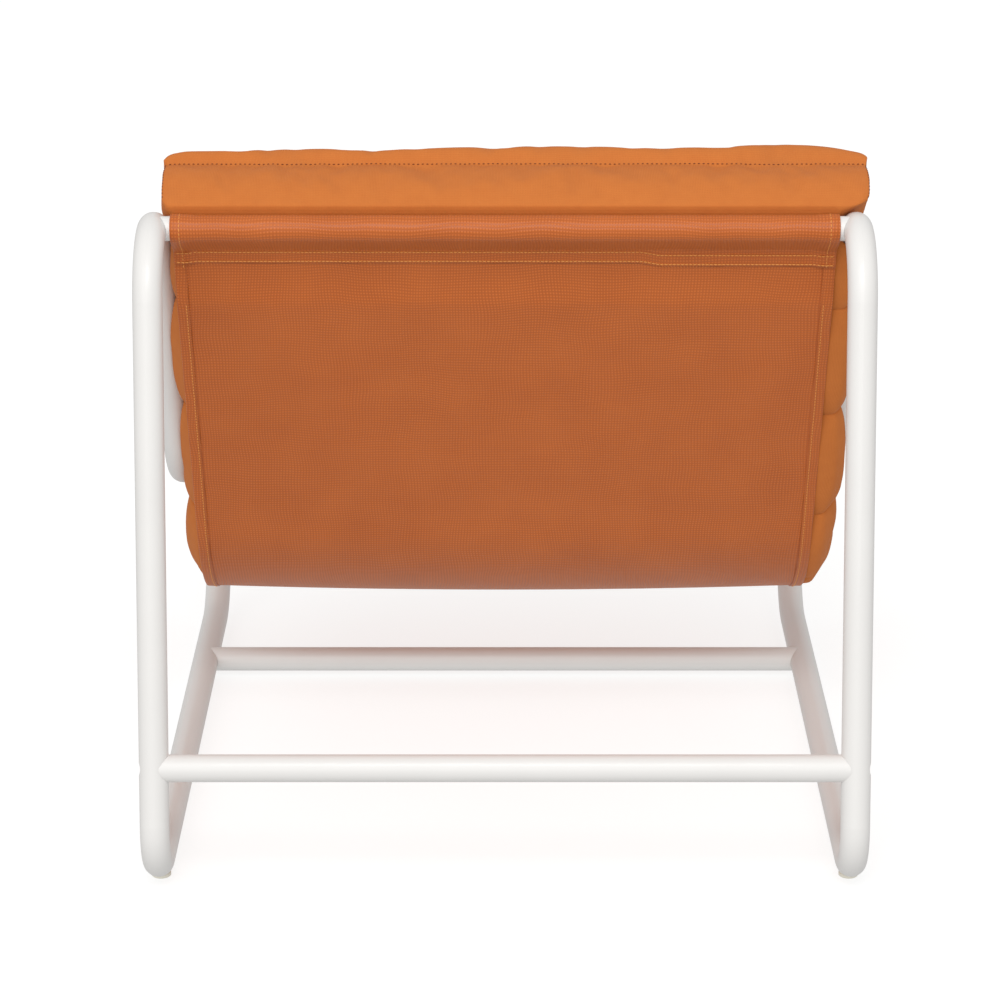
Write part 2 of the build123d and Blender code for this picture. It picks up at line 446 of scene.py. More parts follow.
@dataclass
class SlingLine:
    """The sling's line in the Y-Z plane: straight down the back, an arc, and straight up to the front bar.

    A place on it is a length from the top crossbar's centre. Its outward normal points away from
    the sitter: the direction of travel (ty, tz) turned to (-tz, ty).
    """

    top: np.ndarray
    front: np.ndarray
    recline: float = math.radians(27)
    slope: float = math.radians(17)
    bend_r: float = 210 * MM

    def __post_init__(self) -> None:
        """Work out where the two straights meet the arc."""
        self.down = np.array([-math.sin(self.recline), -math.cos(self.recline)])
        self.rise = np.array([-math.cos(self.slope), math.sin(self.slope)])
        lengths = np.linalg.solve(np.stack([self.down, self.rise], axis=1), self.front - self.top)
        self.turn = math.pi / 2 - self.recline + self.slope
        cut = self.bend_r * math.tan(self.turn / 2)
        self.back_length = lengths[0] - cut
        self.bend_length = self.bend_r * self.turn
        self.total = self.back_length + self.bend_length + lengths[1] - cut
        self.bend_start = self.top + self.back_length * self.down
        self.bend_end = self.front - (lengths[1] - cut) * self.rise

    def at(self, length: np.ndarray) -> tuple[np.ndarray, np.ndarray]:
        """Points and directions of travel at lengths from the top crossbar.

        Args:
            length: Lengths in metres; past either end the straights run on.

        Returns:
            Points and unit directions, each with a last axis of (y, z).
        """
        length = np.asarray(length, float)
        angle = np.clip((length - self.back_length) / self.bend_r, 0.0, self.turn)[..., None]
        inward = np.array([self.down[1], -self.down[0]])
        way = np.cos(angle) * self.down + np.sin(angle) * inward
        bend = self.bend_start + self.bend_r * (np.sin(angle) * self.down + (1 - np.cos(angle)) * inward)
        before = np.minimum(length - self.back_length, 0.0)[..., None]
        after = np.maximum(length - self.back_length - self.bend_length, 0.0)[..., None]
        return bend + before * self.down + after * self.rise, way


def outward(way: np.ndarray) -> np.ndarray:
    """Normal that points away from the sitter: the direction of travel turned by a quarter."""
    return np.stack([-way[..., 1], way[..., 0]], axis=-1)


def in_space(x: np.ndarray, point: np.ndarray) -> np.ndarray:
    """Join a place across the chair with a (y, z) point."""
    return np.stack([np.broadcast_to(x, point.shape[:-1]), point[..., 0], point[..., 1]], axis=-1)


@dataclass
class StitchRow:
    """A row of lockstitches: small spindles of thread that dip into the cloth at both ends."""

    thread_d: float
    length_share: float
    sides: int = 6
    rings: int = 5
    tip: float = 0.04
    sunk: float = 0.2

    def build(self, points: np.ndarray, normals: np.ndarray) -> tuple[np.ndarray, np.ndarray]:
        """Make one spindle from each point to the next.

        A ring's radius and its height over the cloth both follow the sine of its place along the
        stitch, so the ends are sunk and the middle stands proud.

        Args:
            points: The needle holes along the row, n by 3.
            normals: The cloth's outward normals there, n by 3.

        Returns:
            Vertices and quads of all the spindles.
        """
        middle = (points[:-1] + points[1:]) / 2
        way = points[1:] - points[:-1]
        span = np.linalg.norm(way, axis=1, keepdims=True)
        way = way / span
        normal = normals[:-1] - (normals[:-1] * way).sum(1, keepdims=True) * way
        normal = normal / np.linalg.norm(normal, axis=1, keepdims=True)
        across = np.cross(way, normal)
        share = np.linspace(0.0, 1.0, self.rings)
        swell = np.sqrt(np.sin(np.pi * np.clip(share, self.tip, 1 - self.tip)))
        turn = np.arange(self.sides) * 2 * np.pi / self.sides
        radius = self.thread_d / 2 * swell
        stretch = self.length_share * span[:, None, None] * way[:, None, None]
        along = (share - 0.5)[None, :, None, None] * stretch
        sink = (radius - self.thread_d * self.sunk)[None, :, None, None] * normal[:, None, None]
        ring = radius[None, :, None, None] * (
            np.cos(turn)[None, None, :, None] * across[:, None, None]
            + np.sin(turn)[None, None, :, None] * normal[:, None, None]
        )
        vertices = (middle[:, None, None] + along + sink + ring).reshape(-1, 3)
        first = np.arange(self.rings - 1)[:, None] * self.sides
        step = np.arange(self.sides)[None]
        step_on = (step + 1) % self.sides
        second = first + self.sides
        quads = np.stack([first + step, second + step, second + step_on, first + step_on], axis=-1)
        quads = quads.reshape(-1, 4)
        each = np.arange(len(middle))[:, None, None] * self.rings * self.sides
        return vertices, (quads[None] + each).reshape(-1, 4)


def join(parts: list[tuple[np.ndarray, np.ndarray]]) -> tuple[np.ndarray, np.ndarray]:
    """Join lists of vertices and faces into one of each.

    Args:
        parts: The vertices and faces of each part, its faces numbered from nought.

    Returns:
        All the vertices, and all the faces with their numbers moved on.
    """
    starts = np.cumsum([0] + [len(vertices) for vertices, _ in parts[:-1]])
    faces = [faces + start for (_, faces), start in zip(parts, starts)]
    return np.concatenate([vertices for vertices, _ in parts]), np.concatenate(faces)


@dataclass
class Sling:
    """Mesh sling: one cut of cloth with hemmed sides, and a sleeve sewn round the bar at each end."""

    line: SlingLine
    width: float
    bar_r: float
    cloth_t: float = 1.0 * MM
    layer: float = 1.1 * MM
    bar_gap: float = 0.3 * MM
    hem: float = 12 * MM
    hem_stitch_in: float = 3 * MM
    hem_ease: tuple[float, float] = (8 * MM, 6 * MM)
    flap: float = 51 * MM
    flap_ease: float = 10 * MM
    flap_past_row: float = 3 * MM
    lift_end: tuple[float, float] = (140 * MM, 40 * MM)
    stitch_rows: tuple[float, float] = (37 * MM, 48 * MM)
    blend_out: float = 100 * MM
    sag: float = 6 * MM
    stitch_pitch: float = 4.2 * MM
    sleeve_thread: float = 1.3 * MM
    sleeve_share: float = 0.88
    hem_thread: float = 0.9 * MM
    hem_share: float = 0.72
    row_margin: float = 2 * MM
    roll_sewn: float = 150 * MM
    seam_step: float = 4 * MM
    seam_step_at: float = -148 * MM
    seam_step_run: float = 25 * MM
    fine_step: float = 0.5 * MM
    main_step: float = 7 * MM
    sleeve_step: float = 2.4 * MM
    ease_points: int = 5
    main_points: int = 1400
    sleeve_points: int = 240
    flap_points: int = 60
    hem_points: int = 4
    fold_points: int = 5
    columns: int = 84
    path: np.ndarray = field(init=False)
    way: np.ndarray = field(init=False)
    length: np.ndarray = field(init=False)
    on_main: np.ndarray = field(init=False)
    merge: float = field(init=False)

    def __post_init__(self) -> None:
        """Lay out the cloth's path, from one flap's edge to the other's."""
        self.sleeve_r = self.bar_r + self.bar_gap + self.cloth_t / 2
        top = self._sleeve(self.line.top, self.line.at(np.array(0.0))[1], 1)
        end = self.line.total
        front = self._sleeve(self.line.front, -self.line.at(np.array(end))[1], -1)
        merge = self.blend_out
        main_at = np.linspace(merge, end - merge, self.main_points)
        main = self.line.at(main_at)[0]
        dense = np.concatenate([top, main, front[::-1]])
        marks = np.concatenate([np.zeros(len(top)), np.ones(len(main)), np.zeros(len(front))])
        self._resample(dense, marks)

    def _sleeve(self, bar: np.ndarray, away: np.ndarray, sign: int) -> np.ndarray:
        """Path of one sleeve: up the sewn flap, round the bar, and down to where it lies on the line.

        The flap leaves the cloth at the upper stitch row on the tangent to the roll, the roll is an
        arc about the bar, and the cloth leaves the roll on its other side, straight to the line.

        Args:
            bar: The bar's centre, (y, z).
            away: Direction from the bar down the cloth.
            sign: 1 if lengths along the line grow away from the bar, and -1 if they shrink.

        Returns:
            Closely spaced points.
        """
        normal = outward(away) * sign
        tail = self.blend_out
        leave = math.acos(self.sleeve_r / tail)
        front_tangent = self.sleeve_r * (math.cos(leave) * away - math.sin(leave) * normal)
        end = tail * away

        def on_cloth(distance: float) -> np.ndarray:
            """Point on the straight stretch of cloth at a distance from the bar, along the sleeve."""
            share = (distance - front_tangent @ away) / (tail - front_tangent @ away)
            return front_tangent + share * (end - front_tangent)

        flap_lift = self.layer * normal
        sewn = on_cloth(self.stitch_rows[0] - self.flap_past_row) + flap_lift
        reach = np.linalg.norm(sewn)
        facing = math.atan2(sewn @ normal, sewn @ away)
        rear = facing + math.acos(self.sleeve_r / reach)
        angles = np.linspace(rear, 2 * math.pi - leave, self.sleeve_points)[:, None]
        roll = self.sleeve_r * (np.cos(angles) * away + np.sin(angles) * normal)
        edge = on_cloth(self.flap + self.seam_step) + flap_lift
        share = np.linspace(0.0, 1.0, self.flap_points)[:, None]
        flap = edge + share * (sewn - edge)
        wrap = sewn + share[1:] * (roll[0] - sewn)
        cloth_share = np.linspace(0.0, 1.0, self.sleeve_points)[1:-1, None]
        cloth = roll[-1] + cloth_share * (end - roll[-1])
        return bar + np.concatenate([flap, wrap, roll[1:], cloth])

    def _resample(self, dense: np.ndarray, marks: np.ndarray) -> None:
        """Space the path's points: close on the sleeves, wider on the main stretch, with eased corners.

        Args:
            dense: Closely spaced points, (y, z).
            marks: 1 at each point on the main stretch, and 0 on the sleeves.
        """
        run = lengths_along(dense)
        fine = np.arange(0.0, run[-1], self.fine_step)
        points = sample(fine, run, dense)
        main = np.interp(fine, run, marks)
        reach = self.ease_points
        kernel = np.hanning(2 * reach + 3)[1:-1]
        kernel = kernel / kernel.sum()
        padded = np.pad(points, ((reach, reach), (0, 0)), mode="reflect", reflect_type="odd")
        points = np.stack([np.convolve(column, kernel, "valid") for column in padded.T], axis=1)
        step = self.sleeve_step + (self.main_step - self.sleeve_step) * smooth(main)
        count = np.concatenate([[0], np.cumsum(self.fine_step / step[:-1])])
        rows = int(round(count[-1]))
        at = np.interp(np.linspace(0, count[-1], rows + 1), count, fine)
        self.path = sample(at, fine, points)
        way = np.gradient(self.path, at, axis=0)
        self.way = way / np.linalg.norm(way, axis=1, keepdims=True)
        self.length = at
        self.on_main = np.interp(at, fine, main)
        self.merge = float(at[np.argmax(self.on_main > 0.5)])

    def place(self, x: np.ndarray, at: np.ndarray, offset: np.ndarray | float = 0.0) -> np.ndarray:
        """Point of the cloth.

        The path's point is carried across the chair and moved along its normal by the offset. The
        hems' second layer lifts the sleeves at the sides. Below the sewn flap the cloth eases into a
        sag: a parabola across times a sine squared along.

        Args:
            x: Places across the chair.
            at: Lengths along the cloth from the top flap's edge.
            offset: Distances along the cloth's own normal.

        Returns:
            Points with a last axis of (x, y, z).
        """
        point = sample(at, self.length, self.path)
        normal = outward(self.direction(at))
        half = self.width / 2
        ease_in, ease_run = self.hem_ease
        near_hem = smooth((np.abs(x) - (half - self.hem - ease_in)) / ease_run)
        ends = np.minimum(at, self.length[-1] - at)
        layers = 1 + (1 - smooth((ends - self.flap + self.flap_ease) / (2 * self.flap_ease)))
        fade_from, fade_run = self.lift_end
        lift = -self.layer * near_hem * layers * (1 - smooth((ends - fade_from) / fade_run))
        span = np.clip(at / self.length[-1], 0.0, 1.0)
        ramp = self.blend_out - self.flap - self.seam_step
        slack = smooth((ends - self.merge) / ramp + 1)
        sag = self.sag * (1 - (x / half) ** 2) * np.sin(np.pi * span) ** 2 * slack
        return in_space(x, point + (lift + sag + offset)[..., None] * normal)

    def drift(self, x: np.ndarray) -> np.ndarray:
        """How far the sewn flap runs lower on one side, where the seam steps down."""
        return self.seam_step * smooth((self.seam_step_at - x) / self.seam_step_run + 0.5)

    def direction(self, at: np.ndarray) -> np.ndarray:
        """Direction of travel along the cloth at lengths from the top flap's edge."""
        way = sample(at, self.length, self.way)
        return way / np.linalg.norm(way, axis=-1, keepdims=True)

    def build(self) -> bpy.types.Object:
        """Carry the cross-profile, with both hems folded over, along the path.

        A fold is a half circle from the hem's second layer, one layer up, to the main cloth.

        Returns:
            The sling's cloth.
        """
        half = self.width / 2
        fold = np.linspace(0.0, np.pi, self.fold_points)
        hem_x = np.linspace(half - self.hem, half - self.layer / 2, self.hem_points)
        fold_x = half - self.layer / 2 + self.layer / 2 * np.sin(fold)
        fold_n = self.layer / 2 * (1 + np.cos(fold))
        main_x = np.linspace(half - self.layer / 2, self.layer / 2 - half, self.columns + 1)
        x = np.concatenate([hem_x[:-1], fold_x[:-1], main_x, -fold_x[::-1][1:], -hem_x[::-1][1:]])
        flat = np.zeros(len(main_x))
        level = np.full(len(hem_x) - 1, self.layer)
        offset = np.concatenate([level, fold_n[:-1], flat, fold_n[::-1][1:], level])
        at = self.length[:, None] + np.zeros(len(x))
        at = at + (self.seam_step - self.drift(x)) * np.clip(1 - at / self.flap, 0.0, 1.0)
        points = self.place(x[None] + 0 * at, at, offset[None] + 0 * at)
        run = np.concatenate([[0], np.cumsum(np.hypot(np.diff(x), np.diff(offset)))])
        faces = grid_faces(len(self.length), len(x))
        uv_points = np.stack([run[None] + 0 * at, self.length[:, None] + 0 * at], axis=-1).reshape(-1, 2)
        piece = mesh_piece("sling_cloth", points.reshape(-1, 3), faces, uv_points[faces])
        solid = piece.modifiers.new("cloth_thickness", "SOLIDIFY")
        solid.thickness = self.cloth_t
        solid.offset = 0.0
        return piece

    def rows(self) -> list[tuple[np.ndarray, np.ndarray]]:
        """Make the stitches of every row: two at each sleeve, and along each hem and over the top roll.

        Returns:
            Vertices and faces of each row.
        """
        sleeve = StitchRow(self.sleeve_thread, self.sleeve_share)
        hem = StitchRow(self.hem_thread, self.hem_share)
        half = self.width / 2 - self.row_margin
        across = np.arange(-half, half, self.stitch_pitch)
        rows = []
        for row in self.stitch_rows:
            start = self.flap + self.seam_step - row
            for lengths in (start - self.drift(across), self.length[-1] - start + 0 * across):
                rows.append(sleeve.build(*self._row(across, lengths, -self.cloth_t / 2)))
        reach = np.arange(self.length[0], self.length[-1], self.stitch_pitch)
        for side in (-1, 1):
            x = np.full(len(reach), side * (self.width / 2 - self.hem + self.hem_stitch_in))
            on_hem = np.interp(reach, self.length, self.on_main) > 0.5
            rows.append(hem.build(*self._row(x[on_hem], reach[on_hem], self.layer + self.cloth_t / 2)))
            roll = reach[reach < self.roll_sewn]
            rows.append(hem.build(*self._row(x[: len(roll)], roll, -self.cloth_t / 2)))
        return rows

    def _row(self, x: np.ndarray, at: np.ndarray, offset: float) -> tuple[np.ndarray, np.ndarray]:
        """Places on one face of the cloth, with the normals of that face."""
        normal = outward(self.direction(at)) * np.sign(offset)
        return self.place(x, at, np.full(len(at), offset)), in_space(np.zeros(len(at)), normal)

    def dress(self, cloth: bpy.types.Object, thread: bpy.types.Material) -> None:
        """Sew the rows of stitches, hang the cloth and the stitches on the frame, and hide the CAD sling.

        Args:
            cloth: The sling's cloth.
            thread: The sewing thread's material.
        """
        stitches = mesh_piece("sling_stitching", *join(self.rows()))
        stitches.data.materials.append(thread)
        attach(stitches, Body.FRAME.value)
        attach(cloth, Body.FRAME.value)
        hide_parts("sling")


def rounded_corner(
    before: np.ndarray, corner: np.ndarray, after: np.ndarray, radius: float, count: int = 60
) -> np.ndarray:
    """Arc that rounds a corner of a path.

    Args:
        before: A point on the path before the corner.
        corner: The corner.
        after: A point on the path after it.
        radius: The arc's radius.
        count: How many points it has.

    Returns:
        Points along the arc.
    """
    back = (before - corner) / np.linalg.norm(before - corner)
    on = (after - corner) / np.linalg.norm(after - corner)
    half = math.acos(back @ on) / 2
    centre = corner + (back + on) / np.linalg.norm(back + on) * radius / math.sin(half)
    first = corner + back * radius / math.tan(half)
    sweep = np.linspace(0.0, math.pi - 2 * half, count)[:, None]
    return centre + np.cos(sweep) * (first - centre) - np.sin(sweep) * radius * back


@dataclass
class SideTube:
    """Side tubes beside the cushion: top bend, back tube, arm bend, arm and front bend."""

    top: np.ndarray
    front_y: float
    x: float
    radius: float
    recline: float = math.radians(28.5)
    arm_height: float = 320 * MM
    top_bend_r: float = 70 * MM
    arm_bend_r: float = 105 * MM
    front_bend_r: float = 80 * MM
    top_from: float = 80.0
    top_points: int = 90
    foot_z: float = 100 * MM
    step: float = 3 * MM
    gap: float = 2 * MM
    flare: float = 1.4

    def __post_init__(self) -> None:
        """Lay out the centre line, closely spaced, as (y, z) points."""
        turn = np.radians(np.linspace(self.top_from, math.degrees(self.recline) - 90.0, self.top_points))
        centre = self.top - np.array([0.0, self.top_bend_r])
        bend = centre + self.top_bend_r * np.stack([np.sin(turn), np.cos(turn)], axis=1)
        start = bend[-1]
        fall = (start[1] - self.arm_height) / math.cos(self.recline)
        arm = start + fall * np.array([-math.sin(self.recline), -math.cos(self.recline)])
        nose = np.array([self.front_y, self.arm_height])
        foot = np.array([self.front_y, self.foot_z])
        corners = [
            rounded_corner(start, arm, nose, self.arm_bend_r),
            rounded_corner(arm, nose, foot, self.front_bend_r),
        ]
        path = np.concatenate([bend, *corners, foot[None]])
        run = lengths_along(path)
        self.path = sample(np.arange(0.0, run[-1], self.step), run, path)

    def limit(self, point: np.ndarray) -> np.ndarray:
        """How far out the cushion may reach: to the tube where it runs, and past it on either side.

        Args:
            point: Places as (y, z).

        Returns:
            The largest distance from the middle of the chair at each place.
        """
        away = np.min(np.linalg.norm(point[:, None] - self.path[None], axis=2), axis=1)
        reach = self.radius + self.gap
        hug = np.sqrt(np.maximum(reach**2 - away**2, 0.0))
        return self.x - hug + self.flare * np.maximum(away - reach, 0.0)


@dataclass(frozen=True)
class ChannelSize:
    """Heights over the cushion's underside, and how far its sides stand in, at one place along it."""

    lift: float
    boxing: float
    edge: float
    centre: float
    draw_in: float


@dataclass
class Cushion:
    """Loose cushion: channels sewn across, boxed sides and ends, squeezed in between the side tubes."""

    line: SlingLine
    tube: SideTube
    roll_r: float
    width: float = 720 * MM
    shift: float = -11 * MM
    low_shift: float = -6 * MM
    low_narrow: float = 2 * MM
    low_from: tuple[float, float] = (360 * MM, 520 * MM)
    under_round: float = 11 * MM
    channels: int = 7
    end_seam: float = 115 * MM
    end_channel: float = 130 * MM
    gap: float = 0.9 * MM
    middle: ChannelSize = ChannelSize(0.0, 66 * MM, 92 * MM, 104 * MM, 0.0)
    seam: ChannelSize = ChannelSize(7 * MM, 54 * MM, 66 * MM, 76 * MM, 8 * MM)
    end: ChannelSize = ChannelSize(4 * MM, 78 * MM, 113 * MM, 117 * MM, 2 * MM)
    swell_power: float = 2.6
    swell_root: float = 0.6
    boxing_power: float = 1.4
    roll_power: float = 1.3
    crown_power: int = 6
    end_power: int = 3
    even_share: float = 0.75
    side_bulge: float = 8 * MM
    side_puff: float = 0.6
    end_bulge: float = 5 * MM
    puff: float = 11 * MM
    round_in: float = 14 * MM
    corner_in: float = 5 * MM
    crest_tilt: float = 8.5 * MM
    crest_wave: float = 1.6 * MM
    # The size, the radians from the middle to a side, and the phase of each wave
    crest_waves: tuple[tuple[float, float, float], ...] = ((1.0, 4.6, 0.9), (0.6, 9.3, 2.1))
    left_corner: tuple[float, float] = (0.075, 21 * MM)
    right_corner: tuple[float, float] = (0.25, 29 * MM)
    corner_thinning: float = 0.75
    sag: float = 6 * MM
    pucker: float = 1.5 * MM
    pucker_pitch: float = 31 * MM
    pucker_reach: float = 20 * MM
    pucker_from: float = 3 * MM
    wander: float = 1.7
    wander_length: float = 47 * MM
    wander_step: float = 2.3
    across: int = 96
    along_channel: int = 14
    through: int = 14
    through_step: float = 7 * MM
    seam_row: int = 10
    edge_hold: float = 0.9
    pressure: float = 4.0
    blow_frames: int = 20
    cap: float = 9 * MM
    stitch_pitch: float = 4.8 * MM
    thread_d: float = 1.2 * MM
    stitch_share: float = 0.5

    def __post_init__(self) -> None:
        """Number the lattice: points on the outside of a box of cells, each with its three indices."""
        self.pitch = (self.line.total - 2 * self.end_seam) / (self.channels - 2)
        self.along = self.channels * self.along_channel
        self.total = self.pitch * (self.channels - 2) + 2 * self.end_channel
        counts = (self.across, self.along, self.through)
        shape = [n + 1 for n in counts]
        faces = []
        axes = []
        for axis in range(3):
            u, v = [k for k in range(3) if k != axis]
            iu, iv = np.meshgrid(np.arange(shape[u]), np.arange(shape[v]), indexing="ij")
            quads = grid_faces(shape[u], shape[v])
            for level in (0, counts[axis]):
                index = [iu.ravel()] * 3
                index[v] = iv.ravel()
                index[axis] = np.full(iu.size, level)
                key = (index[0] * shape[1] + index[1]) * shape[2] + index[2]
                flip = (level == 0) != (axis == 1)
                faces.append(key[quads[:, ::-1] if flip else quads])
                axes.append(np.full(len(quads), axis))
        unique, numbered = np.unique(np.concatenate(faces), return_inverse=True)
        self.faces = numbered.reshape(-1, 4)
        self.face_axis = np.concatenate(axes)
        row, kt = np.divmod(unique, shape[2])
        ia, js = np.divmod(row, shape[1])
        self.index = np.stack([ia, js, kt])
        self._measure()

    def _measure(self) -> None:
        """Give each lattice point its share across, its channel and its length from the top end.

        Points crowd towards the seams: a channel's shares follow half of one less a cosine.
        """
        ia, js, _ = self.index
        even = 2 * ia / self.across - 1
        self.a = self.even_share * even + (1 - self.even_share) * np.sin(np.pi / 2 * even)
        self.channel = np.minimum(js // self.along_channel, self.channels - 1)
        step = (js - self.channel * self.along_channel) / self.along_channel
        self.q = (1 - np.cos(np.pi * step)) / 2
        lengths = np.full(self.channels, self.pitch)
        lengths[[0, -1]] = self.end_channel
        starts = np.concatenate([[0], np.cumsum(lengths)[:-1]])
        self.s = starts[self.channel] + self.q * lengths[self.channel]

    def spine(self, s: np.ndarray) -> tuple[np.ndarray, np.ndarray]:
        """Underside of the cushion at a length from its top end.

        Between the first and last seams it is the sling's line. The end channels leave that line
        straight, on the tangent that passes just clear of the rolls of mesh on the crossbars.

        Args:
            s: Lengths from the top end.

        Returns:
            Points and directions of travel, each with a last axis of (y, z).
        """
        last = self.total - self.end_channel
        point, way = self.line.at(np.clip(s, self.end_channel, last) - self.end_channel + self.end_seam)
        for seam, bar, sign in ((self.end_channel, self.line.top, -1), (last, self.line.front, 1)):
            at = self.line.at(np.array(seam - self.end_channel + self.end_seam))[0]
            rise = sign * math.asin((self.roll_r + self.gap) / self.end_seam)
            turn = np.array([[math.cos(rise), math.sin(rise)], [-math.sin(rise), math.cos(rise)]])
            out = turn @ (bar - at) / np.linalg.norm(bar - at)
            past = sign * (s - seam)
            point = np.where(past[:, None] > 0, at + past[:, None] * out, point)
            way = np.where(past[:, None] > 0, sign * out, way)
        return point, way

    def sizes(self) -> dict[str, np.ndarray]:
        """Heights and draw-in at each lattice point, swelling from the seams to a channel's middle.

        The swell is one less a power of the distance from the channel's middle, to a root.

        Returns:
            Each of the channel's sizes, by name.
        """
        swell = (1 - np.abs(2 * self.q - 1) ** self.swell_power) ** self.swell_root
        upper_end = (self.channel == 0) & (self.q < 0.5)
        lower_end = (self.channel == self.channels - 1) & (self.q > 0.5)
        at_end = upper_end | lower_end
        return {
            name: np.where(at_end, getattr(self.end, name), getattr(self.seam, name)) * (1 - swell)
            + getattr(self.middle, name) * swell
            for name in ("lift", "boxing", "edge", "centre", "draw_in")
        }

    def crest(self) -> np.ndarray:
        """Uneven height of the top end's crest: a tilt and two slow waves, thinner at the corners.

        Returns:
            What each lattice point adds to the height.
        """
        wave = sum(size * np.sin(turn * self.a + phase) for size, turn, phase in self.crest_waves)
        return self.crest_wave * wave - self.crest_tilt * self.a - self.corner_thinning * self.corner()

    def corner(self) -> np.ndarray:
        """How far the ends' corners are rounded off in plan: a quarter ellipse at each side.

        Returns:
            The cut at each lattice point.
        """
        cut = np.zeros(len(self.a))
        for side, (reach, depth) in ((1, self.left_corner), (-1, self.right_corner)):
            near = np.clip((side * self.a - 1) / reach + 1, 0.0, 1.0)
            cut = cut + depth * (1 - np.sqrt(1 - near**2))
        return cut

    def form(self) -> np.ndarray:
        """Places of the lattice's points before the cover is blown up.

        A channel's heights swell from its seams to its middle. Up the side, the boxing bows out by
        a parabola, is drawn in at its seam, and the front cover puffs over it by a sine and rolls
        in to the top. The top is crowned across by a sixth-power curve.

        Returns:
            Points, n by 3.
        """
        kt = self.index[2]
        size = self.sizes()
        boxed = 1 - (1 - np.clip(kt / self.seam_row, 0.0, 1.0)) ** self.boxing_power
        rolled = np.clip((kt - self.seam_row) / (self.through - self.seam_row), 0.0, 1.0) ** self.roll_power
        near_top = np.clip(1 - self.s / self.end_channel, 0.0, 1.0)
        near_front = np.clip(1 - (self.total - self.s) / self.end_channel, 0.0, 1.0)
        crest = self.crest() * near_top**self.end_power
        edge = size["edge"] + crest
        centre = size["centre"] + crest
        inset = (1 - np.abs(self.a)) * self.width / 2
        rounding = np.clip(1 - inset / self.under_round, 0.0, 1.0)
        lift = size["lift"] + self.under_round * (1 - np.sqrt(1 - rounding**2))
        height = lift + (size["boxing"] - lift) * boxed
        height = height + (edge - size["boxing"]) * np.sin(rolled * np.pi / 2)
        crown = np.sqrt(np.maximum(1 - np.abs(self.a) ** self.crown_power, 0.0))
        height = np.where(kt == self.through, edge + (centre - edge) * crown, height)
        bow = (1 - (2 * boxed - 1) ** 2) * (kt <= self.seam_row)
        roll = np.sin(np.pi * rolled)
        near_end = np.maximum(near_top, near_front) ** self.end_power
        half = self.width / 2 - size["draw_in"] - self.side_bulge * (1 - near_end) * (1 - bow)
        low = smooth((self.s - self.low_from[0]) / (self.low_from[1] - self.low_from[0]))
        side_in = self.round_in + (self.corner_in - self.round_in) * near_end
        half = half + self.side_puff * self.side_bulge * roll
        half = half - side_in * rolled**2 - self.low_narrow * low
        shift = self.shift + (self.low_shift - self.shift) * low
        end_out = self.end_bulge * bow + self.puff * roll - (self.round_in + self.corner()) * rolled**2
        point, way = self.spine(self.s)
        fall = self.sag * (1 - self.a**2) * np.sin(np.pi * self.s / self.total) ** 2 * (1 - boxed) ** 2
        point = point - outward(way) * (height + self.gap / 2 - fall)[:, None]
        point = point + way * ((near_front**2 - near_top**2) * end_out)[:, None]
        reach = np.minimum(half + np.sign(self.a) * shift, self.tube.limit(point))
        return in_space(self.a * reach, point)

    def inflate(self, points: np.ndarray) -> np.ndarray:
        """Blow the cover up as cloth under pressure, held at its seams.

        Args:
            points: The cover's points before.

        Returns:
            The points after, none moved by more than the cap.
        """
        piece = mesh_piece("cushion_blowing_up", points, self.faces)
        _, js, kt = self.index
        channel_seam = (js % self.along_channel == 0) & ((kt == 0) | (kt == self.through))
        edge_seam = (kt == self.seam_row) | (kt == 0)
        pins = piece.vertex_groups.new(name="sewn")
        pins.add(np.flatnonzero(edge_seam).tolist(), self.edge_hold, "REPLACE")
        pins.add(np.flatnonzero(channel_seam).tolist(), 1.0, "REPLACE")
        cloth = piece.modifiers.new("filling", "CLOTH")
        settings = cloth.settings
        settings.quality = 6
        settings.mass = 0.25
        settings.tension_stiffness = 12.0
        settings.compression_stiffness = 12.0
        settings.shear_stiffness = 4.0
        settings.bending_stiffness = 0.4
        settings.shrink_min = -0.03
        settings.use_pressure = True
        settings.uniform_pressure_force = self.pressure
        settings.effector_weights.gravity = 0.0
        settings.vertex_group_mass = "sewn"
        settings.pin_stiffness = 1.0
        cloth.collision_settings.use_collision = False
        cloth.point_cache.frame_start = 1
        cloth.point_cache.frame_end = self.blow_frames
        scene = bpy.context.scene
        for number in range(1, self.blow_frames + 1):
            scene.frame_set(number)
        move = grown_points(piece)[0] - points
        far = np.linalg.norm(move, axis=1, keepdims=True)
        scene.frame_set(1)
        bpy.data.objects.remove(piece)
        log.info("cushion cover: moved %.1f mm at most", far.max() / MM)
        return points + move * np.minimum(1.0, self.cap / np.maximum(far, 1e-9))

    def settle(self, points: np.ndarray, rest: np.ndarray) -> np.ndarray:
        """Keep the blown cover on the sling and clear of the side tubes, and pucker it at its seams.

        The puckers are ridges across each seam: a sine along the seam whose phase wanders, fading
        with the distance from the seam.

        Args:
            points: The blown cover's points.
            rest: The points before it was blown up.

        Returns:
            The settled points.
        """
        kt = self.index[2]
        up = in_space(np.zeros(len(points)), -outward(self.spine(self.s)[1]))
        rise = ((points - rest) * up).sum(1)
        points = points - np.where(kt == 0, rise, 0.0)[:, None] * up
        span = np.where(self.q < 0.5, self.q, 1 - self.q) * self.pitch
        across = rest[:, 0]
        bend = np.sin(across / self.wander_length + self.wander_step * self.channel)
        phase = 2 * np.pi * across / self.pucker_pitch + self.wander * bend
        inner = np.where(self.q < 0.5, self.channel > 0, self.channel < self.channels - 1)
        fade = np.exp(-span / self.pucker_reach) * np.clip(span / self.pucker_from, 0.0, 1.0) * inner
        ridge = self.pucker * np.sin(phase) * fade * (kt > self.seam_row)
        points = points + ridge[:, None] * up
        limit = self.tube.limit(points[:, 1:])
        return np.stack([np.clip(points[:, 0], -limit, limit), points[:, 1], points[:, 2]], axis=1)

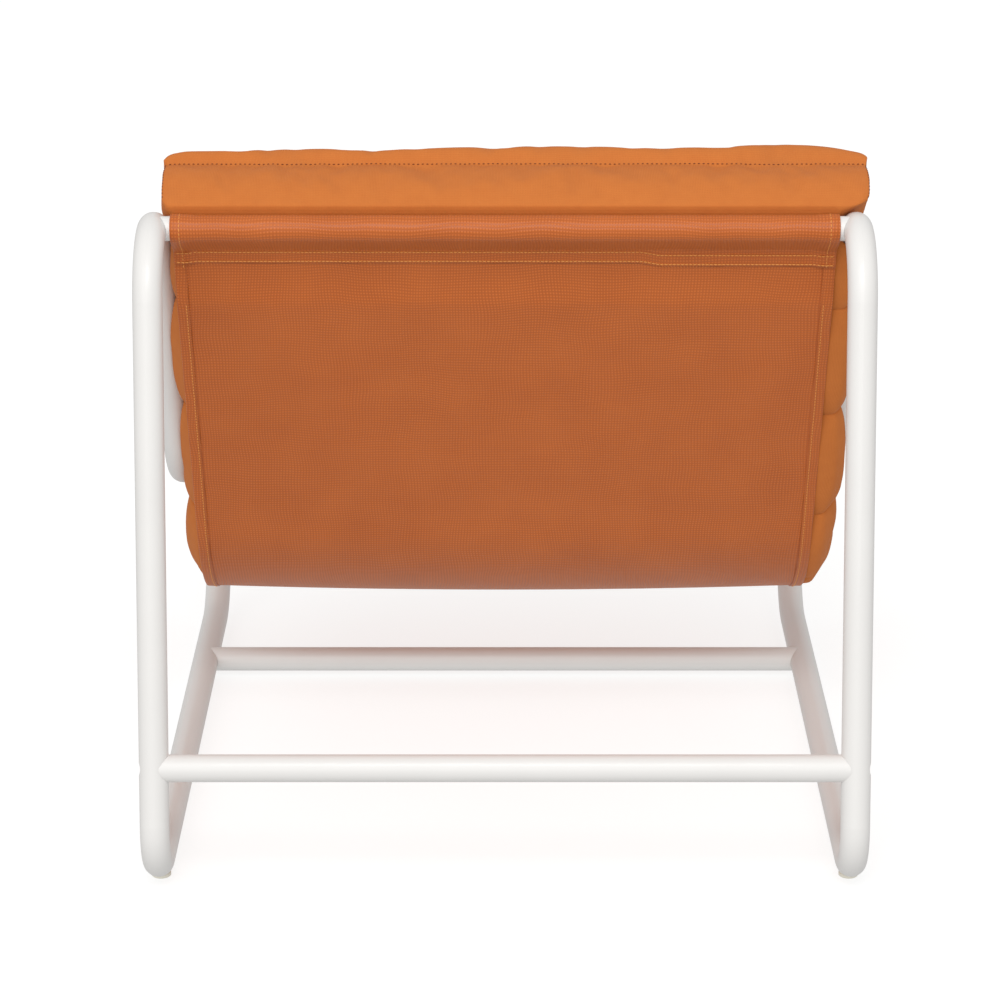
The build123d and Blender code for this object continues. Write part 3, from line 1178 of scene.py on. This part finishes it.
    def build(self) -> bpy.types.Object:
        """Form the cover, blow it up, settle it, and put it into a mesh with its cloth's coordinates.

        Returns:
            The cushion's cover.
        """
        rest = self.form()
        points = self.inflate(rest)
        points = self.settle(points, rest)
        lattice = np.stack([self.a * self.width / 2, self.s, self.index[2] * self.through_step], axis=1)
        pick = np.array([[1, 2], [0, 2], [0, 1]])[self.face_axis]
        uv = np.take_along_axis(lattice[self.faces], pick[:, None, :].repeat(4, axis=1), axis=2)
        piece = mesh_piece("seat_cushion_cover", points, self.faces, uv)
        rounder = piece.modifiers.new("rounding", "SUBSURF")
        rounder.levels = 1
        rounder.render_levels = 1
        return piece

    def sew(self, cover: bpy.types.Object) -> bpy.types.Object:
        """Lay stitches along the channel seams, round the boxing's seams and up its corners.

        Args:
            cover: The cushion's cover.

        Returns:
            The stitches.
        """
        count = len(self.index[0])
        places, normals = (vectors[:count] for vectors in grown_points(cover))
        ia, js, kt = self.index
        top = kt == self.through
        seams = [(top & (js == n * self.along_channel), ia) for n in range(1, self.channels)]
        boxing = kt == self.seam_row
        seams += [(boxing & (js == end), ia) for end in (0, self.along)]
        seams += [(boxing & (ia == end), js) for end in (0, self.across)]
        boxed = kt <= self.seam_row
        corners = [
            ((ia == i) & (js == j) & boxed, kt) for i in (0, self.across) for j in (0, self.along)
        ]
        rows = []
        for chosen, order in seams + corners:
            line = np.flatnonzero(chosen)
            line = line[np.argsort(order[line], kind="stable")]
            run = lengths_along(places[line])
            holes = np.arange(0.0, run[-1], self.stitch_pitch)
            point = sample(holes, run, places[line])
            normal = sample(holes, run, normals[line])
            rows.append(StitchRow(self.thread_d, self.stitch_share).build(point, normal))
        return mesh_piece("cushion_stitching", *join(rows))

    def dress(self, cover: bpy.types.Object, stitches: bpy.types.Object) -> None:
        """Hang the cover and its stitches on the cushion's body, and hide the CAD cushion.

        Args:
            cover: The cushion's cover.
            stitches: Its stitches.
        """
        for piece in (cover, stitches):
            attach(piece, Body.CUSHION.value)
        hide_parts("seat_cushion")


@dataclass(frozen=True)
class SoftBox:
    """Rectangular light behind the chair that faces it; its tilt is the angle up from facing the floor."""

    name: str
    place: tuple[float, float, float]
    tilt: float
    size: tuple[float, float]
    power: float

    def build(self) -> None:
        """Make the light, hidden from the camera itself."""
        panel = bpy.data.lights.new(self.name, "AREA")
        panel.shape = "RECTANGLE"
        panel.size, panel.size_y = self.size
        panel.energy = self.power
        light = put(self.name, panel)
        light.location = self.place
        light.rotation_euler = (math.radians(self.tilt), 0.0, math.pi)
        light.visible_camera = False


@dataclass
class Studio:
    """Pale floor, soft lights, and the camera at the photograph's view: behind, and a little above."""

    camera_place: tuple[float, float, float] = (5 * MM, 3674 * MM, 1480.5 * MM)
    pitch: float = math.radians(18)
    lens: float = 125.2
    floor_r: float = 20.0
    sweep_r: float = 40.0
    sweep_rings: int = 12
    floor_sides: int = 64
    sensor: float = 36.0
    sight: float = 1000.0
    sky: float = 0.62
    key_power: float = 1.1
    key_spread: float = 60.0
    key_tilt: float = 60.0
    key_side: float = 12.0
    boxes: tuple[SoftBox, ...] = (
        SoftBox("high_soft_box", (0.0, 2.4, 2.6), 48.0, (1.1, 1.1), 22.0),
    )

    def floor(self) -> None:
        """Make the floor: flat round the chair, then swept up on all sides.

        A ring of the sweep stands at the flat's radius plus r * sin(turn), and at a height of
        r * (1 - cos(turn)), for turns up to a quarter. Only the camera sees it, so it lights nothing.
        """
        turn = np.linspace(0, np.pi / 2, self.sweep_rings)[:, None]
        radius = np.concatenate([[[0.0]], self.floor_r + self.sweep_r * np.sin(turn)])
        height = np.concatenate([[[0.0]], self.sweep_r * (1 - np.cos(turn))])
        angle = np.linspace(2 * np.pi, 0, self.floor_sides + 1)
        rings = np.stack([radius * np.cos(angle), radius * np.sin(angle), height + 0 * angle], axis=2)
        faces = grid_faces(self.sweep_rings + 1, self.floor_sides + 1)
        floor = mesh_piece("floor", rings.reshape(-1, 3), faces)
        floor.data.materials.append(STUDIO_FLOOR.build())
        floor.visible_diffuse = False
        floor.visible_glossy = False
        floor.visible_shadow = False

    def build(self) -> None:
        """Make the floor, the lights, the sky and the camera."""
        self.floor()
        world = bpy.data.worlds.new("white_room")
        world.use_nodes = True
        sky = world.node_tree.nodes["Background"]
        sky.inputs["Color"].default_value = (1.0, 1.0, 1.0, 1.0)
        sky.inputs["Strength"].default_value = self.sky
        bpy.context.scene.world = world
        sun = bpy.data.lights.new("soft_key", "SUN")
        sun.energy = self.key_power
        sun.angle = math.radians(self.key_spread)
        key = put("soft_key", sun)
        key.rotation_euler = (math.radians(self.key_tilt), 0.0, math.radians(180 - self.key_side))
        for box in self.boxes:
            box.build()
        data = bpy.data.cameras.new("rear_camera")
        data.lens = self.lens
        data.sensor_width = self.sensor
        data.clip_end = self.sight
        camera = put("rear_camera", data)
        camera.location = self.camera_place
        camera.rotation_euler = (math.pi / 2 - self.pitch, 0.0, math.pi)
        scene = bpy.context.scene
        scene.camera = camera
        scene.view_settings.view_transform = "Standard"


def centre_yz(node: str) -> np.ndarray:
    """Middle of a CAD node's box, as (y, z)."""
    low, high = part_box(node)
    return np.array([(low.y + high.y) / 2, (low.z + high.z) / 2])


def width_of(node: str) -> float:
    """A CAD node's width across the chair."""
    low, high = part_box(node)
    return high.x - low.x


def paint_frame(materials: dict[str, bpy.types.Material]) -> None:
    """Give each CAD node that shows the finish of its slot.

    Args:
        materials: The finish of each slot.
    """
    for part in frame["record"]["subparts"]:
        node = frame["nodes"][part["node"]]
        node.data.materials.clear()
        node.data.materials.append(materials[part["material_slot"]])
        log.info("%s: %s", part["node"], part["material_slot"])


def write_sizes() -> None:
    """Bring the view layer up to date."""
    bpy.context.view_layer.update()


def main() -> None:
    """Build the armchair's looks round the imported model."""
    logging.basicConfig(level=logging.INFO, format="%(message)s")
    materials = {slot: finish.build() for slot, finish in FINISHES.items()}
    paint_frame(materials)
    line = SlingLine(centre_yz("top_crossbar"), centre_yz("front_crossbar"))
    low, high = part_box("top_crossbar")
    bar_r = (high.z - low.z) / 2
    sling = Sling(line, width_of("sling"), bar_r)
    cloth = sling.build()
    cloth.data.materials.append(materials[Slot.SLING_MESH.value])
    sling.dress(cloth, SEWING_THREAD.build())
    log.info("sling: %d rows of points", len(sling.length))
    low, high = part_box("side_frame_left")
    tube_r = (high.x - low.x) / 2
    tube = SideTube(line.top, low.y + tube_r, (low.x + high.x) / 2, tube_r)
    cushion = Cushion(line, tube, bar_r + ROLL_OVER_BAR)
    cover = cushion.build()
    cover.data.materials.append(materials[Slot.CUSHION_COVER.value])
    stitches = cushion.sew(cover)
    # Dark thread: painted shade along the cover's seams and up its corners, over real stitches
    stitches.data.materials.append(SEAM_SHADE_THREAD.build())
    cushion.dress(cover, stitches)
    log.info("cushion: %d points", len(cushion.a))
    Studio().build()
    write_sizes()


if __name__ == "__main__":
    main()
